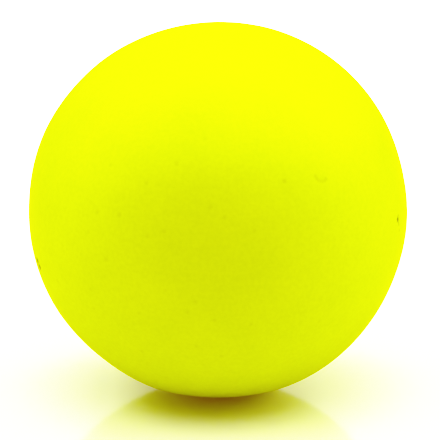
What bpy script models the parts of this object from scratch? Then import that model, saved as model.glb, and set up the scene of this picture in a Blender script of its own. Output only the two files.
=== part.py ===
"""A petanque jack: a hardwood ball turned along the grain, with a white undercoat and a coat of
fluorescent yellow paint. Metres, +Z up, origin at the ball's centre, +X along the grain."""

import math

import bmesh
import bpy
from mathutils import Matrix, Vector

# The finished ball and its layers
FINISHED_DIAMETER = 0.0300
PAINT_THICKNESS = 0.00012
UNDERCOAT_THICKNESS = 0.00008
# Each layer sticks to the one under it, and the solids keep this much apart in place of the bond
BOND_GAP = 0.00005

# Pits near the two ends of the grain, where a pore has drawn in the paint and stayed open
PIT_MOUTH = 0.00032
PIT_FLOOR = 0.00020
PIT_DEPTH_IN_WOOD = 0.00025
# How far a pit's cutter stands out of the paint, so that it cuts clean through the curved skin
PIT_CUT_OVERRUN = 0.0002

# Where each pit lies: which end of the grain, degrees away from that end, and degrees round the
# grain from the front, positive upwards
RIGHT_END = 1
LEFT_END = -1
PITS = (
    (RIGHT_END, 19.9, 7.8),
    (LEFT_END, 18.5, -40.6),
    (LEFT_END, 20.7, -41.7),
)

# Facets of the round shapes
BALL_SEGMENTS = 40
BALL_RINGS = 20
PIT_SIDES = 8

# Finishes: colour and roughness
WOOD_FINISH = ((0.56, 0.38, 0.19), 0.60)
UNDERCOAT_FINISH = ((0.86, 0.86, 0.83), 0.70)
PAINT_FINISH = ((0.80, 0.95, 0.01), 0.35)

PAINT_RADIUS = FINISHED_DIAMETER / 2
UNDERCOAT_RADIUS = PAINT_RADIUS - PAINT_THICKNESS - BOND_GAP
WOOD_RADIUS = UNDERCOAT_RADIUS - UNDERCOAT_THICKNESS - BOND_GAP


def clear_scene():
    for thing in list(bpy.data.objects):
        bpy.data.objects.remove(thing, do_unlink=True)


def add_ball(mesh, radius):
    """A sphere whose poles lie on the grain, as a ball comes off the lathe. Gives its faces."""
    along_grain = Matrix.Rotation(math.pi / 2, 4, "Y")
    made = bmesh.ops.create_uvsphere(
        mesh,
        u_segments=BALL_SEGMENTS,
        v_segments=BALL_RINGS,
        radius=radius,
        matrix=along_grain,
    )
    return list({face for vertex in made["verts"] for face in vertex.link_faces})


def pit_direction(end, from_end, round_grain):
    """The unit vector from the ball's centre to a pit."""
    away = math.radians(from_end)
    turn = math.radians(round_grain)
    return Vector(
        (
            end * math.cos(away),
            -math.sin(away) * math.cos(turn),
            math.sin(away) * math.sin(turn),
        )
    )


def add_pit_cutter(mesh, direction):
    """A tapered pin along a radius, from the pit's floor in the wood to just outside the paint."""
    floor_height = WOOD_RADIUS - PIT_DEPTH_IN_WOOD
    pit_depth = PAINT_RADIUS - floor_height
    length = pit_depth + PIT_CUT_OVERRUN
    widening = (PIT_MOUTH - PIT_FLOOR) / pit_depth
    outer_end = PIT_FLOOR + widening * length
    outwards = direction.to_track_quat("Z", "Y").to_matrix().to_4x4()
    middle = Matrix.Translation(direction * (floor_height + length / 2))
    bmesh.ops.create_cone(
        mesh,
        cap_ends=True,
        segments=PIT_SIDES,
        radius1=PIT_FLOOR / 2,
        radius2=outer_end / 2,
        depth=length,
        matrix=middle @ outwards,
    )


def new_object(name, mesh):
    data = bpy.data.meshes.new(name)
    mesh.to_mesh(data)
    mesh.free()
    made = bpy.data.objects.new(name, data)
    bpy.context.scene.collection.objects.link(made)
    return made


def give_finish(piece, colour, roughness):
    material = bpy.data.materials.new(piece.name)
    material.use_nodes = True
    shader = material.node_tree.nodes["Principled BSDF"]
    shader.inputs["Base Color"].default_value = (*colour, 1.0)
    shader.inputs["Roughness"].default_value = roughness
    shader.inputs["Metallic"].default_value = 0.0
    piece.data.materials.append(material)


def make_pit_cutters():
    """All the pits as one cutter, shared by every layer that they go through."""
    mesh = bmesh.new()
    for end, from_end, round_grain in PITS:
        add_pit_cutter(mesh, pit_direction(end, from_end, round_grain))
    cutters = new_object("pit_cutters", mesh)
    cutters.hide_render = True
    cutters.display_type = "WIRE"
    return cutters


def finish_piece(name, mesh, finish, pits, centre):
    """The piece as an object on the ball's centre: smooth, cut by the pits, in its own finish."""
    piece = new_object(name, mesh)
    piece.parent = centre
    piece.data.shade_smooth()
    give_finish(piece, *finish)
    cut = piece.modifiers.new("pits", "BOOLEAN")
    cut.operation = "DIFFERENCE"
    cut.solver = "EXACT"
    cut.object = pits
    return piece


def make_wood_ball(pits, centre):
    mesh = bmesh.new()
    add_ball(mesh, WOOD_RADIUS)
    return finish_piece("wood_ball", mesh, WOOD_FINISH, pits, centre)


def make_film(name, radius, thickness, finish, pits, centre):
    """A coat all round the ball: an outer skin, and an inner skin facing the ball."""
    mesh = bmesh.new()
    add_ball(mesh, radius)
    inner_skin = add_ball(mesh, radius - thickness)
    bmesh.ops.reverse_faces(mesh, faces=inner_skin)
    return finish_piece(name, mesh, finish, pits, centre)


def make_jack():
    clear_scene()
    centre = bpy.data.objects.new("jack_centre", None)
    bpy.context.scene.collection.objects.link(centre)
    pits = make_pit_cutters()
    pits.parent = centre
    make_wood_ball(pits, centre)
    make_film("white_undercoat", UNDERCOAT_RADIUS, UNDERCOAT_THICKNESS, UNDERCOAT_FINISH, pits, centre)
    make_film("yellow_paint_coat", PAINT_RADIUS, PAINT_THICKNESS, PAINT_FINISH, pits, centre)


make_jack()
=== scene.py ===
"""The looks of a petanque jack: a turned hardwood ball, its white undercoat and its coat of
fluorescent yellow paint, on a glossy white sheet under soft light."""

import math
import random

import bpy
import numpy as np
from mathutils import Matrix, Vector


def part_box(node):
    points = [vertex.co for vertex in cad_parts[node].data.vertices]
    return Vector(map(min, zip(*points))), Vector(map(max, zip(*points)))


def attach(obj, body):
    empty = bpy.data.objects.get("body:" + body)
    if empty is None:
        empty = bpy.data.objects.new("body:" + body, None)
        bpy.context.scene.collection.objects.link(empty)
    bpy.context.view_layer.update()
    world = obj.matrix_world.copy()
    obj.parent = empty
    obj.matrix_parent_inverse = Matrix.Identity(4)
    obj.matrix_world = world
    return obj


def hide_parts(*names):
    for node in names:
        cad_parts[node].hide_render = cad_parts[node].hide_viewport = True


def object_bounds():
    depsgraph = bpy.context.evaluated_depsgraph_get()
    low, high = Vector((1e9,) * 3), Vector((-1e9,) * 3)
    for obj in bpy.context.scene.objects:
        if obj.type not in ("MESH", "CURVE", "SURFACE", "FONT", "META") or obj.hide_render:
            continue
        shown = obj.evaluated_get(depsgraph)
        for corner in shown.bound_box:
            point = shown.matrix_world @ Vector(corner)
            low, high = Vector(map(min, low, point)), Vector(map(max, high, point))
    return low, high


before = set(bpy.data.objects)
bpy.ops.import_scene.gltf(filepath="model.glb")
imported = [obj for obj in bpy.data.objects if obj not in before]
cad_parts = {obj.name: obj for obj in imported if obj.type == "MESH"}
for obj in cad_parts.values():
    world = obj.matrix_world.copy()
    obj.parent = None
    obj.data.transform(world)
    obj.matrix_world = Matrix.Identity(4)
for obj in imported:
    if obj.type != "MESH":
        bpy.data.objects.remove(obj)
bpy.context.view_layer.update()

# The photo's frame in pixels, and how the ball sits in it
PHOTO_SIDE = 440
PHOTO_MIDDLE = 219.5
BALL_MIDDLE_PIXEL = (217.43, 209.5)
BALL_RADIUS_PIXELS = 189.0

# The camera looks along +Y and a little down on the ball, and its sensor is in millimetres
CAMERA_DISTANCE = 0.36
CAMERA_ELEVATION = math.radians(16.2)
CAMERA_NEAR_LIMIT = 0.01
SENSOR_WIDTH = 36.0

# The layers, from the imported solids, and the thickness of the two coats
PAINT_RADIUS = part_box("yellow_paint_coat")[1].x
UNDERCOAT_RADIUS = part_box("white_undercoat")[1].x
WOOD_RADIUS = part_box("wood_ball")[1].x
PAINT_THICKNESS = 0.00012
UNDERCOAT_THICKNESS = 0.00008

# How finely each ball is divided
PAINT_FINENESS = 7
CORE_FINENESS = 6
# Round its marks a skin is divided further: the cuts across each edge, and how far out from a mark
UNDER_LAYER_CUTS = 11
UNDER_LAYER_CUT_REACH = 0.00048
MARK_CUTS = 2
MARK_CUT_REACH = 0.00039
PIT_RIM_CUTS = 3
PIT_RIM_CUT_REACH = 0.00030
# Faces that meet at less than this angle are shaded as one round skin
ROUND_ANGLE = math.radians(50)

# The ball is a little out of round, as turned wood is once it has dried: how far the outline in the
# photo swells or sinks, by its clock angle in degrees, counted from the right and upwards
LUMPS = (
    (10, -0.000050),
    (29, 0.000025),
    (47, 0.000035),
    (90, -0.000080),
    (108, -0.000080),
    (157, 0.000080),
    (-164, 0.000025),
    (-128, -0.000105),
    (-90, -0.000120),
    (-57, 0.000045),
    (-18, -0.000031),
    (-3, 0.000050),
)
LUMP_REACH = 0.0060

# Raised grain under the paint: ripples that run along X, and the finer peel of the sprayed coat
GRAIN_WIDTH = 0.0011
GRAIN_STRETCH = 9.0
GRAIN_HEIGHT = 0.000010
PEEL_WIDTH = 0.0008
PEEL_STRETCH = 1.0
PEEL_HEIGHT = 0.000010
RIPPLE_LAYERS = 1

# Open pits near the ends of the grain, by the photo pixel that shows each
RIGHT_PIT_PIXEL = (397.5, 219.0)
LEFT_PIT_PIXELS = ((37.05, 260.0), (39.4, 266.5))
PIT_MOUTH = 0.00032
PIT_THROAT = 0.00025
PIT_DEPTH_IN_WOOD = 0.00025
PIT_LIP_REACH = 0.00038
PIT_LIP_DEPTH = 0.000040

# Pinholes and small dents that the photo shows, by pixel: the deepest, the plain and the faint
DEEPEST_PIXEL = (284, 181)
PINHOLE_PIXELS = (
    (176, 163), (146, 182), (214, 320), (147, 235), (210, 207), (119, 214),
    (221, 356), (195, 302), (205, 138), (97, 211), (105, 259), (57, 281),
)
FAINT_PIXELS = (
    (196, 346), (141, 351), (164, 231), (251, 324), (165, 290), (90, 289), (93, 308),
    (110, 164), (187, 312), (88, 231), (224, 217), (254, 230), (138, 313), (319, 321),
)
# A curved nick on the upper right, and a fine crack through the right-hand pit, by pixels along them
NICK_PIXELS = (
    (314.9, 175.7), (316.4, 178.0), (317.9, 180.0), (320.0, 180.9), (322.3, 181.2), (324.4, 180.2),
    (325.6, 178.4),
)
CRACK_PIXELS = ((397.7, 214.8), (397.5, 216.3), (398.1, 222.2), (398.2, 224.2), (398.8, 229.8))
PINHOLE_REACH = 0.00030
PINHOLE_DEPTH = 0.000020
FAINT_REACH = 0.00026
FAINT_DEPTH = 0.000012
NICK_REACH = 0.00027
NICK_DEPTH = 0.000018
CRACK_REACH = 0.00018
CRACK_DEPTH = 0.000018
# More pinholes and faint dents are scattered over the side that the photo doesn't show
UNSEEN_PINHOLES = 18
UNSEEN_FAINT = 18
UNSEEN_SEED = 7

# How much dirt and painted shade darken the middle of each mark, where 1 hides the paint. More than 1
# also hides it for some way out from the middle
DEEPEST_DIRT_AND_SHADE = 0.18
PINHOLE_DIRT_AND_SHADE = 0.125
FAINT_DIRT_AND_SHADE = 0.11
NICK_DIRT_AND_SHADE = 0.225
CRACK_DIRT_AND_SHADE = 0.60
RIGHT_PIT_DIRT_AND_SHADE = 0.80
LEFT_PIT_DIRT_AND_SHADE = 2.0
# The olive of the dirt and painted shade in the marks: the paint's yellow, darkened as in shade
DIRT_AND_SHADE_COLOUR = (0.33, 0.40, 0.004, 1.0)

# Patterns in the finishes: each one's waves to the metre, and how many finer layers it has
COAT_CLOUDS = (210.0, 4.0)
GRAIN_LINES = (2600.0, 3.0)
PEEL_DIMPLES = (1500.0, 2.0)
SPRAY_SPECKLE = (3200.0, 2.0)
CHALK_SPECKLE = (2200.0, 4.0)
FIBRE_LINES = (1800.0, 4.0)
PORE_DASHES = (3400.0, 1.0)
# Patterns that are drawn out along X: the smaller the first number, the longer the lines
GRAIN_DRAW = (0.07, 1.0, 1.0)
FIBRE_DRAW = (0.06, 1.0, 1.0)
PORE_DRAW = (0.16, 1.0, 1.0)
# Growth rings round a heart that lies outside the ball
RING_SCALE = 130.0
RING_WANDER = 1.5
RING_DETAIL = 2.0
HEART_SHIFT = (0.0, 0.031, 0.012)

# Colours over a pattern, each with the height in the pattern where it lies
PAINT_COLOURS = (
    (0.30, (0.718, 0.950, 0.002)),
    (0.50, (0.734, 0.967, 0.002)),
    (0.70, (0.750, 0.980, 0.003)),
)
GRAIN_SHADE = ((0.30, (0.985, 0.990, 1.0)), (0.60, (1.0, 1.0, 1.0)))
SPRAY_SHADE = ((0.30, (0.958, 0.966, 1.0)), (0.65, (1.0, 1.0, 1.0)))
CHALK_COLOURS = ((0.30, (0.78, 0.78, 0.74)), (0.70, (0.88, 0.88, 0.85)))
RING_COLOURS = ((0.15, (0.62, 0.44, 0.24)), (0.95, (0.46, 0.30, 0.15)))
FIBRE_SHADE = ((0.30, (0.72, 0.68, 0.62)), (0.70, (1.0, 1.0, 1.0)))
PORE_SHADE = ((0.30, (0.50, 0.44, 0.38)), (0.40, (1.0, 1.0, 1.0)))

# Roughness of each finish, from the low to the high parts of its pattern
PATTERN_LOW = 0.3
PATTERN_HIGH = 0.7
PAINT_ROUGHNESS = (0.38, 0.46)
CHALK_ROUGHNESS = (0.70, 0.82)
WOOD_ROUGHNESS = (0.72, 0.55)
# Relief that is too fine for the meshes
PEEL_RELIEF = 0.000006
GRAIN_RELIEF = 0.000002
CHALK_RELIEF = 0.000010
FIBRE_RELIEF = 0.000030
PORE_RELIEF = 0.000040

# The paint's gloss, which comes from a soft grey lacquer more than from the paint itself, and a faint
# painted red glow, which warms and lightens the paint's shade and the shade under the ball
PAINT_GLOSS = 0.05
LACQUER_WEIGHT = 1.0
LACQUER_ROUGHNESS = 0.4
LACQUER_IOR = 1.15
LACQUER_TINT = (0.87, 0.87, 0.87, 1.0)
PAINTED_GLOW_COLOUR = (1.0, 0.0, 0.0, 1.0)
PAINTED_GLOW_STRENGTH = 0.10

# The glossy sheet under the ball: its front edge lies just out of the picture, and a little light
# comes up through it
SHEET_SIDE = 1.6
SHEET_FRONT = -0.045
SHEET_ROUGHNESS = 0.10
SHEET_GLOW = 0.018
SHEET_WHITE = (0.88, 0.88, 0.88, 1.0)
FULL_WHITE = (1.0, 1.0, 1.0, 1.0)

# Light: the glow of the room, that of the backdrop as the camera sees it, and each panel's place, size
# and glow
ROOM_GLOW = 0.22
BACKDROP_GLOW = 1.5
PANELS = (
    ("front_softbox", (0.0, -0.18, 0.31), (0.34, 0.22), 3.10),
    ("top_softbox", (0.0, 0.12, 0.35), (0.36, 0.16), 4.25),
    ("left_softbox", (-0.27, 0.0, 0.30), (0.44, 0.14), 4.25),
    ("right_softbox", (0.26, 0.05, 0.30), (0.36, 0.14), 2.80),
    ("left_wall", (-0.38, 0.05, 0.10), (0.34, 0.22), 1.70),
    ("right_wall", (0.34, 0.11, 0.19), (0.36, 0.14), 3.32),
    ("front_right_wall", (0.36, -0.07, 0.16), (0.30, 0.16), 2.55),
    ("back_wall", (0.0, 0.39, 0.10), (0.60, 0.22), 1.06),
)

# How the picture is developed: as a camera's colour matrix takes the red out of blue, which deepens
# yellow and leaves white alone, and with highlights that ease off into white, given as pairs of the
# light taken and the light shown
RED_OUT_OF_BLUE = 0.8
LEAST_BLUE = 0.002
BLUE_EASE = 0.12
BRIGHTEST_LIGHT = 1.2
HIGHLIGHT_EASE = ((0.5, 0.5), (0.7, 0.7), (0.8, 0.795), (0.9, 0.885), (1.0, 0.955))

# Sockets of a Mix node that mixes colours, and the curve that acts on all three colours
MIX_FACTOR = 0
MIX_FIRST = 6
MIX_SECOND = 7
MIX_RESULT = 2
ALL_COLOURS_CURVE = 3

eye_right = Vector((1.0, 0.0, 0.0))
eye_up = Vector((0.0, math.sin(CAMERA_ELEVATION), math.cos(CAMERA_ELEVATION)))
eye_back = Vector((0.0, -math.cos(CAMERA_ELEVATION), math.sin(CAMERA_ELEVATION)))
eye = eye_back * CAMERA_DISTANCE
lens_in_pixels = BALL_RADIUS_PIXELS * math.sqrt((CAMERA_DISTANCE / PAINT_RADIUS) ** 2 - 1)


def spot_at_pixel(pixel):
    """The unit vector from the ball's centre to the point of its skin that a photo pixel shows."""
    across = (pixel[0] - BALL_MIDDLE_PIXEL[0]) / lens_in_pixels
    up = (BALL_MIDDLE_PIXEL[1] - pixel[1]) / lens_in_pixels
    ray = (eye_right * across + eye_up * up - eye_back).normalized()
    reach = -eye.dot(ray)
    clearance = (eye + ray * reach).length
    inside = math.sqrt(max(PAINT_RADIUS ** 2 - clearance ** 2, 0.0))
    return (eye + ray * (reach - inside)).normalized()


def spots_at_pixels(pixels):
    return [spot_at_pixel(pixel) for pixel in pixels]


def spot_on_outline(clock_angle):
    """The unit vector to the point of the photographed outline at a clock angle in degrees."""
    turn = math.radians(clock_angle)
    return eye_right * math.cos(turn) + eye_up * math.sin(turn)


def unseen_spots(draw, count):
    """Evenly scattered unit vectors on the far side of the ball."""
    spots = []
    while len(spots) < count:
        spot = Vector([draw.gauss(0, 1) for _ in range(3)]).normalized()
        if spot.dot(eye_back) < 0:
            spots.append(spot)
    return spots


def make_active(piece):
    bpy.ops.object.select_all(action="DESELECT")
    piece.select_set(True)
    bpy.context.view_layer.objects.active = piece


def add_ball(name, radius, fineness):
    bpy.ops.object.select_all(action="DESELECT")
    bpy.ops.mesh.primitive_ico_sphere_add(subdivisions=fineness, radius=radius)
    piece = bpy.context.object
    piece.name = name
    piece.data.name = name
    return piece


def rows_of(things, field):
    """One row of three numbers for each vertex or face."""
    flat = np.empty(len(things) * 3)
    things.foreach_get(field, flat)
    return flat.reshape(-1, 3)


def gaps_to(spots, places, radius):
    """How far each place lies from the nearest of the spots on a ball of that radius."""
    nearest = np.full(len(places), np.inf)
    for spot in spots:
        nearest = np.minimum(nearest, np.linalg.norm(places - np.array(spot * radius), axis=1))
    return nearest


def select_only(piece, kind, chosen):
    """Goes into edit mode with only these vertices or faces of the piece selected."""
    make_active(piece)
    bpy.ops.object.mode_set(mode="EDIT")
    bpy.ops.mesh.select_mode(type=kind)
    bpy.ops.mesh.select_all(action="DESELECT")
    bpy.ops.object.mode_set(mode="OBJECT")
    things = piece.data.vertices if kind == "VERT" else piece.data.polygons
    things.foreach_set("select", chosen)
    bpy.ops.object.mode_set(mode="EDIT")


def select_faces_near(piece, spots, radius, reach):
    middles = rows_of(piece.data.polygons, "center")
    select_only(piece, "FACE", gaps_to(spots, middles, radius) < reach)


def select_open_edge():
    """In edit mode, selects the vertices on the edge of every opening."""
    bpy.ops.mesh.select_mode(type="VERT")
    bpy.ops.mesh.select_non_manifold()


def refine_round(piece, spots, radius, reach, cuts):
    """Divides the faces round each spot, so that a small mark has a shape of its own."""
    select_faces_near(piece, spots, radius, reach)
    bpy.ops.mesh.subdivide(number_cuts=cuts, smoothness=1.0)
    bpy.ops.object.mode_set(mode="OBJECT")


def push_skin(piece, spots, radius, height, reach):
    """Raises or sinks the skin at each spot, fading out smoothly over its reach."""
    corners = rows_of(piece.data.vertices, "co")
    chosen = np.zeros(len(corners), bool)
    for spot in spots:
        chosen[np.argmin(np.linalg.norm(corners - np.array(spot * radius), axis=1))] = True
    select_only(piece, "VERT", chosen)
    bpy.ops.transform.shrink_fatten(
        value=height,
        use_proportional_edit=True,
        proportional_edit_falloff="SMOOTH",
        proportional_size=reach,
    )
    bpy.ops.object.mode_set(mode="OBJECT")


def make_out_of_round(piece, radius):
    """The lumps of the turned wood, which every coat follows."""
    for clock_angle, height in LUMPS:
        push_skin(piece, [spot_on_outline(clock_angle)], radius, height, LUMP_REACH)


def ripple_skin(piece, name, width, height, stretch):
    """Low uneven waves over the whole skin, drawn out along X by the stretch."""
    bpy.ops.object.select_all(action="DESELECT")
    bpy.ops.object.empty_add()
    guide = bpy.context.object
    guide.scale = (stretch, 1.0, 1.0)
    bpy.context.view_layer.update()
    waves = bpy.data.textures.new(name, "CLOUDS")
    waves.noise_scale = width
    waves.noise_depth = RIPPLE_LAYERS
    ripple = piece.modifiers.new(name, "DISPLACE")
    ripple.texture = waves
    ripple.texture_coords = "OBJECT"
    ripple.texture_coords_object = guide
    ripple.strength = height
    make_active(piece)
    bpy.ops.object.modifier_apply(modifier=name)
    bpy.data.objects.remove(guide, do_unlink=True)


def open_pits(piece, radius, mouth):
    """Takes the coat away over each pit, with the slivers that have all their corners on the edge,
    and draws the edge that is left onto a circle."""
    mouth_radius = mouth / 2
    select_faces_near(piece, pit_spots, radius, mouth_radius)
    bpy.ops.mesh.delete(type="FACE")
    select_open_edge()
    bpy.ops.mesh.select_mode(type="FACE")
    bpy.ops.mesh.delete(type="FACE")
    select_open_edge()
    bpy.ops.object.mode_set(mode="OBJECT")
    corners = rows_of(piece.data.vertices, "co")
    on_edge = np.empty(len(corners), bool)
    piece.data.vertices.foreach_get("select", on_edge)
    for spot in pit_spots:
        outwards = np.array(spot)
        from_pit = corners - outwards * radius
        edge = on_edge & (np.linalg.norm(from_pit, axis=1) < mouth)
        height = from_pit[edge] @ outwards
        across = from_pit[edge] - np.outer(height, outwards)
        across *= mouth_radius / np.linalg.norm(across, axis=1, keepdims=True)
        corners[edge] = outwards * radius + np.outer(height, outwards) + across
    piece.data.vertices.foreach_set("co", corners.ravel())
    piece.data.update()


def thicken_coat(piece, thickness):
    """Gives a skin its thickness, inwards from its outer face."""
    coat = piece.modifiers.new("coat_thickness", "SOLIDIFY")
    coat.thickness = thickness
    coat.offset = -1.0
    coat.use_rim = True
    make_active(piece)
    bpy.ops.object.modifier_apply(modifier="coat_thickness")


def mark_dirt_and_shade(piece, marks, radius):
    """How dark dirt and painted shade make the skin at each vertex, from 0 to 1. The darkening of a mark
    fades out over its reach.
    """
    corners = rows_of(piece.data.vertices, "co")
    dirt_and_shade = np.zeros(len(corners))
    for spots, reach, _, darkening in marks:
        near = np.clip(1.0 - gaps_to(spots, corners, radius) / reach, 0.0, 1.0)
        dirt_and_shade = np.maximum(dirt_and_shade, darkening * near * near * (3.0 - 2.0 * near))
    layer = piece.data.attributes.new("dirt_and_shade", "FLOAT", "POINT")
    layer.data.foreach_set("value", np.minimum(dirt_and_shade, 1.0).astype(np.float32))


def new_material(name):
    material = bpy.data.materials.new(name)
    material.use_nodes = True
    return material, material.node_tree, material.node_tree.nodes["Principled BSDF"]


def feed(tree, socket, source):
    """Links the socket to another one, or sets it to a plain value."""
    if isinstance(source, bpy.types.NodeSocket):
        tree.links.new(source, socket)
    else:
        socket.default_value = source


def object_place(tree, scale=(1.0, 1.0, 1.0), shift=(0.0, 0.0, 0.0)):
    """Object coordinates, drawn out where the scale is small."""
    place = tree.nodes.new("ShaderNodeTexCoord")
    mapping = tree.nodes.new("ShaderNodeMapping")
    mapping.inputs["Scale"].default_value = scale
    mapping.inputs["Location"].default_value = shift
    tree.links.new(place.outputs["Object"], mapping.inputs["Vector"])
    return mapping.outputs["Vector"]


def noise_on(tree, place, pattern):
    scale, detail = pattern
    noise = tree.nodes.new("ShaderNodeTexNoise")
    noise.inputs["Scale"].default_value = scale
    noise.inputs["Detail"].default_value = detail
    tree.links.new(place, noise.inputs["Vector"])
    return noise.outputs["Fac"]


def ramp_on(tree, factor, stops):
    """Colours over a pattern, with its ends at the first and the last stop."""
    ramp = tree.nodes.new("ShaderNodeValToRGB")
    ends = ramp.color_ramp.elements
    for end, (position, colour) in zip(ends, (stops[0], stops[-1])):
        end.position = position
        end.color = (*colour, 1.0)
    for position, colour in stops[1:-1]:
        ends.new(position).color = (*colour, 1.0)
    tree.links.new(factor, ramp.inputs["Fac"])
    return ramp.outputs["Color"]


def range_on(tree, factor, ends):
    """A value that goes from one end to the other between the low and the high parts of a pattern."""
    spread = tree.nodes.new("ShaderNodeMapRange")
    spread.inputs["From Min"].default_value = PATTERN_LOW
    spread.inputs["From Max"].default_value = PATTERN_HIGH
    spread.inputs["To Min"].default_value = ends[0]
    spread.inputs["To Max"].default_value = ends[1]
    tree.links.new(factor, spread.inputs["Value"])
    return spread.outputs["Result"]


def mix_colours(tree, blend, factor, first, second):
    """Mixes two colours. Each of the three inputs is either a value or a socket."""
    mix = tree.nodes.new("ShaderNodeMix")
    mix.data_type = "RGBA"
    mix.blend_type = blend
    feed(tree, mix.inputs[MIX_FACTOR], factor)
    feed(tree, mix.inputs[MIX_FIRST], first)
    feed(tree, mix.inputs[MIX_SECOND], second)
    return mix.outputs[MIX_RESULT]


def shade_with(tree, colour, shade):
    return mix_colours(tree, "MULTIPLY", 1.0, colour, shade)


def bump_on(tree, height, depth, under=None):
    bump = tree.nodes.new("ShaderNodeBump")
    bump.inputs["Distance"].default_value = depth
    tree.links.new(height, bump.inputs["Height"])
    if under is not None:
        tree.links.new(under, bump.inputs["Normal"])
    return bump.outputs["Normal"]


def fluorescent_paint():
    """Satin fluorescent yellow: the coat's uneven thickness, the grain that shows through it, the
    peel of the spray, dirt and painted shade in the marks, a faint painted red glow, and a lacquer
    that dims it a little where it is seen at a slant."""
    material, tree, shader = new_material("fluorescent_yellow_paint")
    place = object_place(tree)
    coat = noise_on(tree, place, COAT_CLOUDS)
    grain = noise_on(tree, object_place(tree, GRAIN_DRAW), GRAIN_LINES)
    peel = noise_on(tree, place, PEEL_DIMPLES)
    spray = noise_on(tree, place, SPRAY_SPECKLE)
    dirt_and_shade = tree.nodes.new("ShaderNodeAttribute")
    dirt_and_shade.attribute_name = "dirt_and_shade"
    streaked = shade_with(tree, ramp_on(tree, coat, PAINT_COLOURS), ramp_on(tree, grain, GRAIN_SHADE))
    mottled = shade_with(tree, streaked, ramp_on(tree, spray, SPRAY_SHADE))
    # Dirt and painted shade darken the paint in its marks and pits
    dirty_and_shaded = mix_colours(tree, "MIX", dirt_and_shade.outputs["Fac"], mottled, DIRT_AND_SHADE_COLOUR)
    tree.links.new(dirty_and_shaded, shader.inputs["Base Color"])
    tree.links.new(range_on(tree, peel, PAINT_ROUGHNESS), shader.inputs["Roughness"])
    fine = bump_on(tree, peel, PEEL_RELIEF)
    tree.links.new(bump_on(tree, grain, GRAIN_RELIEF, fine), shader.inputs["Normal"])
    shader.inputs["Specular IOR Level"].default_value = PAINT_GLOSS
    shader.inputs["Coat Weight"].default_value = LACQUER_WEIGHT
    shader.inputs["Coat Roughness"].default_value = LACQUER_ROUGHNESS
    shader.inputs["Coat IOR"].default_value = LACQUER_IOR
    shader.inputs["Coat Tint"].default_value = LACQUER_TINT
    # A faint painted red glow over all the paint, which lightens its shade and the shade under the ball
    shader.inputs["Emission Color"].default_value = PAINTED_GLOW_COLOUR
    shader.inputs["Emission Strength"].default_value = PAINTED_GLOW_STRENGTH
    return material


def white_undercoat():
    """Chalky white, a little uneven from the brush."""
    material, tree, shader = new_material("chalky_white_undercoat")
    chalk = noise_on(tree, object_place(tree), CHALK_SPECKLE)
    tree.links.new(ramp_on(tree, chalk, CHALK_COLOURS), shader.inputs["Base Color"])
    tree.links.new(range_on(tree, chalk, CHALK_ROUGHNESS), shader.inputs["Roughness"])
    tree.links.new(bump_on(tree, chalk, CHALK_RELIEF), shader.inputs["Normal"])
    return material


def turned_wood():
    """Pale hardwood: growth rings round a heart outside the ball, fibres and short pores along X."""
    material, tree, shader = new_material("turned_wood")
    rings = tree.nodes.new("ShaderNodeTexWave")
    rings.wave_type = "RINGS"
    rings.rings_direction = "X"
    rings.inputs["Scale"].default_value = RING_SCALE
    rings.inputs["Distortion"].default_value = RING_WANDER
    rings.inputs["Detail"].default_value = RING_DETAIL
    tree.links.new(object_place(tree, shift=HEART_SHIFT), rings.inputs["Vector"])
    fibres = noise_on(tree, object_place(tree, FIBRE_DRAW), FIBRE_LINES)
    pores = noise_on(tree, object_place(tree, PORE_DRAW), PORE_DASHES)
    ringed = ramp_on(tree, rings.outputs["Fac"], RING_COLOURS)
    streaked = shade_with(tree, ringed, ramp_on(tree, fibres, FIBRE_SHADE))
    porous = shade_with(tree, streaked, ramp_on(tree, pores, PORE_SHADE))
    tree.links.new(porous, shader.inputs["Base Color"])
    tree.links.new(range_on(tree, fibres, WOOD_ROUGHNESS), shader.inputs["Roughness"])
    under = bump_on(tree, fibres, FIBRE_RELIEF)
    tree.links.new(bump_on(tree, pores, PORE_RELIEF, under), shader.inputs["Normal"])
    return material


def finish_piece(piece, material, node):
    make_active(piece)
    bpy.ops.object.shade_smooth_by_angle(angle=ROUND_ANGLE)
    piece.data.materials.append(material)
    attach(piece, "root")
    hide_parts(node)


def make_turned_core():
    """The wood, with the floor of each pit sunk into it."""
    piece = add_ball("turned_core", WOOD_RADIUS, CORE_FINENESS)
    make_out_of_round(piece, WOOD_RADIUS)
    ripple_skin(piece, "core_grain", GRAIN_WIDTH, GRAIN_HEIGHT, GRAIN_STRETCH)
    refine_round(piece, pit_spots, WOOD_RADIUS, UNDER_LAYER_CUT_REACH, UNDER_LAYER_CUTS)
    push_skin(piece, pit_spots, WOOD_RADIUS, -PIT_DEPTH_IN_WOOD, PIT_THROAT / 2)
    finish_piece(piece, turned_wood(), "wood_ball")


def make_undercoat_skin():
    """The undercoat, which shows as a ring inside the mouth of each pit."""
    piece = add_ball("undercoat_skin", UNDERCOAT_RADIUS, CORE_FINENESS)
    make_out_of_round(piece, UNDERCOAT_RADIUS)
    refine_round(piece, pit_spots, UNDERCOAT_RADIUS, UNDER_LAYER_CUT_REACH, UNDER_LAYER_CUTS)
    open_pits(piece, UNDERCOAT_RADIUS, PIT_THROAT)
    thicken_coat(piece, UNDERCOAT_THICKNESS)
    finish_piece(piece, white_undercoat(), "white_undercoat")


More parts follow.
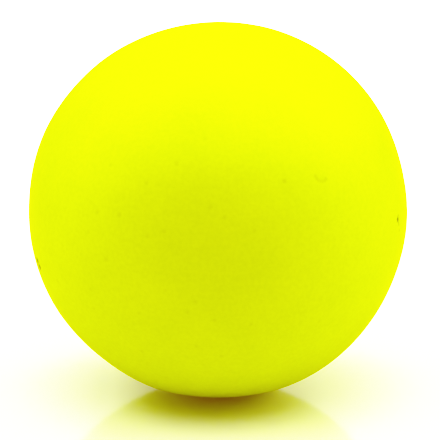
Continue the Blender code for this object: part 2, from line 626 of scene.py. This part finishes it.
def paint_marks():
    """Every kind of mark in the paint: its spots, reach, depth, and its darkening by dirt and painted
    shade.
    """
    draw = random.Random(UNSEEN_SEED)
    pinholes = spots_at_pixels(PINHOLE_PIXELS) + unseen_spots(draw, UNSEEN_PINHOLES)
    faint = spots_at_pixels(FAINT_PIXELS) + unseen_spots(draw, UNSEEN_FAINT)
    return (
        ([spot_at_pixel(DEEPEST_PIXEL)], PINHOLE_REACH, PINHOLE_DEPTH, DEEPEST_DIRT_AND_SHADE),
        (pinholes, PINHOLE_REACH, PINHOLE_DEPTH, PINHOLE_DIRT_AND_SHADE),
        (faint, FAINT_REACH, FAINT_DEPTH, FAINT_DIRT_AND_SHADE),
        (spots_at_pixels(NICK_PIXELS), NICK_REACH, NICK_DEPTH, NICK_DIRT_AND_SHADE),
        (crack_spots, CRACK_REACH, CRACK_DEPTH, CRACK_DIRT_AND_SHADE),
        (right_pit, PIT_LIP_REACH, PIT_LIP_DEPTH, RIGHT_PIT_DIRT_AND_SHADE),
        (left_pits, PIT_LIP_REACH, PIT_LIP_DEPTH, LEFT_PIT_DIRT_AND_SHADE),
    )


def make_fluorescent_skin():
    """The paint, with its pinholes, dents, nick, crack and open pits, and the dirt and painted shade in
    them.
    """
    piece = add_ball("fluorescent_skin", PAINT_RADIUS, PAINT_FINENESS)
    make_out_of_round(piece, PAINT_RADIUS)
    ripple_skin(piece, "raised_grain", GRAIN_WIDTH, GRAIN_HEIGHT, GRAIN_STRETCH)
    ripple_skin(piece, "paint_peel", PEEL_WIDTH, PEEL_HEIGHT, PEEL_STRETCH)
    marks = paint_marks()
    every_spot = [spot for spots, *_ in marks for spot in spots]
    refine_round(piece, every_spot, PAINT_RADIUS, MARK_CUT_REACH, MARK_CUTS)
    refine_round(piece, pit_spots + crack_spots, PAINT_RADIUS, PIT_RIM_CUT_REACH, PIT_RIM_CUTS)
    for spots, reach, depth, _ in marks:
        push_skin(piece, spots, PAINT_RADIUS, -depth, reach)
    open_pits(piece, PAINT_RADIUS, PIT_MOUTH)
    thicken_coat(piece, PAINT_THICKNESS)
    mark_dirt_and_shade(piece, marks, PAINT_RADIUS)
    finish_piece(piece, fluorescent_paint(), "yellow_paint_coat")


def make_sheet():
    """The glossy white sheet that the ball touches with its lowest point."""
    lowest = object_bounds()[0].z
    middle = SHEET_FRONT + SHEET_SIDE / 2
    bpy.ops.object.select_all(action="DESELECT")
    bpy.ops.mesh.primitive_plane_add(size=SHEET_SIDE, location=(0.0, middle, lowest))
    sheet = bpy.context.object
    sheet.name = "glossy_sheet"
    material, _, shader = new_material("glossy_white")
    shader.inputs["Base Color"].default_value = SHEET_WHITE
    shader.inputs["Roughness"].default_value = SHEET_ROUGHNESS
    shader.inputs["Emission Color"].default_value = FULL_WHITE
    shader.inputs["Emission Strength"].default_value = SHEET_GLOW
    sheet.data.materials.append(material)


def make_panel(name, place, size, glow):
    """A soft panel facing the ball. Its power is that of an even glow over its face."""
    light = bpy.data.lights.new(name, "AREA")
    light.shape = "RECTANGLE"
    light.size, light.size_y = size
    light.energy = glow * math.pi * size[0] * size[1]
    panel = bpy.data.objects.new(name, light)
    panel.location = place
    panel.rotation_euler = Vector(place).to_track_quat("Z", "Y").to_euler()
    panel.visible_camera = False
    bpy.context.scene.collection.objects.link(panel)


def make_room():
    """A dim room that the camera sees as white."""
    world = bpy.data.worlds.new("white_room")
    world.use_nodes = True
    tree = world.node_tree
    room = tree.nodes["Background"]
    room.inputs["Color"].default_value = FULL_WHITE
    light_path = tree.nodes.new("ShaderNodeLightPath")
    strength = tree.nodes.new("ShaderNodeMapRange")
    strength.inputs["To Min"].default_value = ROOM_GLOW
    strength.inputs["To Max"].default_value = BACKDROP_GLOW
    tree.links.new(light_path.outputs["Is Camera Ray"], strength.inputs["Value"])
    tree.links.new(strength.outputs["Result"], room.inputs["Strength"])
    bpy.context.scene.world = world


def make_camera():
    """The photo's view, with the ball at its place and size in the frame."""
    data = bpy.data.cameras.new("photo_camera")
    data.sensor_width = SENSOR_WIDTH
    data.lens = lens_in_pixels * SENSOR_WIDTH / PHOTO_SIDE
    data.shift_x = (PHOTO_MIDDLE - BALL_MIDDLE_PIXEL[0]) / PHOTO_SIDE
    data.shift_y = (BALL_MIDDLE_PIXEL[1] - PHOTO_MIDDLE) / PHOTO_SIDE
    data.clip_start = CAMERA_NEAR_LIMIT
    camera = bpy.data.objects.new("photo_camera", data)
    camera.location = eye
    camera.rotation_euler = eye_back.to_track_quat("Z", "Y").to_euler()
    bpy.context.scene.collection.objects.link(camera)
    bpy.context.scene.camera = camera


def picture_sum(tree, operation, *values):
    """A sum on the picture. Each value is either a number or a socket."""
    sum_node = tree.nodes.new("CompositorNodeMath")
    sum_node.operation = operation
    for socket, value in zip(sum_node.inputs, values):
        feed(tree, socket, value)
    return sum_node.outputs["Value"]


def develop_picture():
    """Deepens the yellow and eases the highlights off into white."""
    scene = bpy.context.scene
    scene.view_settings.view_transform = "Standard"
    scene.use_nodes = True
    tree = scene.node_tree
    tree.nodes.clear()
    taken = tree.nodes.new("CompositorNodeRLayers")
    split = tree.nodes.new("CompositorNodeSeparateColor")
    tree.links.new(taken.outputs["Image"], split.inputs["Image"])
    red, green, blue = split.outputs["Red"], split.outputs["Green"], split.outputs["Blue"]
    yellowness = picture_sum(tree, "SUBTRACT", red, blue)
    purer_blue = picture_sum(tree, "MULTIPLY_ADD", yellowness, -RED_OUT_OF_BLUE, blue)
    eased_blue = picture_sum(tree, "SMOOTH_MAX", purer_blue, LEAST_BLUE, BLUE_EASE)
    joined = tree.nodes.new("CompositorNodeCombineColor")
    tree.links.new(red, joined.inputs["Red"])
    tree.links.new(green, joined.inputs["Green"])
    tree.links.new(eased_blue, joined.inputs["Blue"])
    ease = tree.nodes.new("CompositorNodeCurveRGB")
    ease.inputs["White Level"].default_value = (BRIGHTEST_LIGHT, BRIGHTEST_LIGHT, BRIGHTEST_LIGHT, 1.0)
    for taken_light, shown_light in HIGHLIGHT_EASE:
        ease.mapping.curves[ALL_COLOURS_CURVE].points.new(taken_light / BRIGHTEST_LIGHT, shown_light)
    ease.mapping.update()
    shown = tree.nodes.new("CompositorNodeComposite")
    tree.links.new(joined.outputs["Image"], ease.inputs["Image"])
    tree.links.new(ease.outputs["Image"], shown.inputs["Image"])


right_pit = [spot_at_pixel(RIGHT_PIT_PIXEL)]
left_pits = spots_at_pixels(LEFT_PIT_PIXELS)
pit_spots = right_pit + left_pits
crack_spots = spots_at_pixels(CRACK_PIXELS)

make_turned_core()
make_undercoat_skin()
make_fluorescent_skin()
make_sheet()
for panel in PANELS:
    make_panel(*panel)
make_room()
make_camera()
develop_picture()
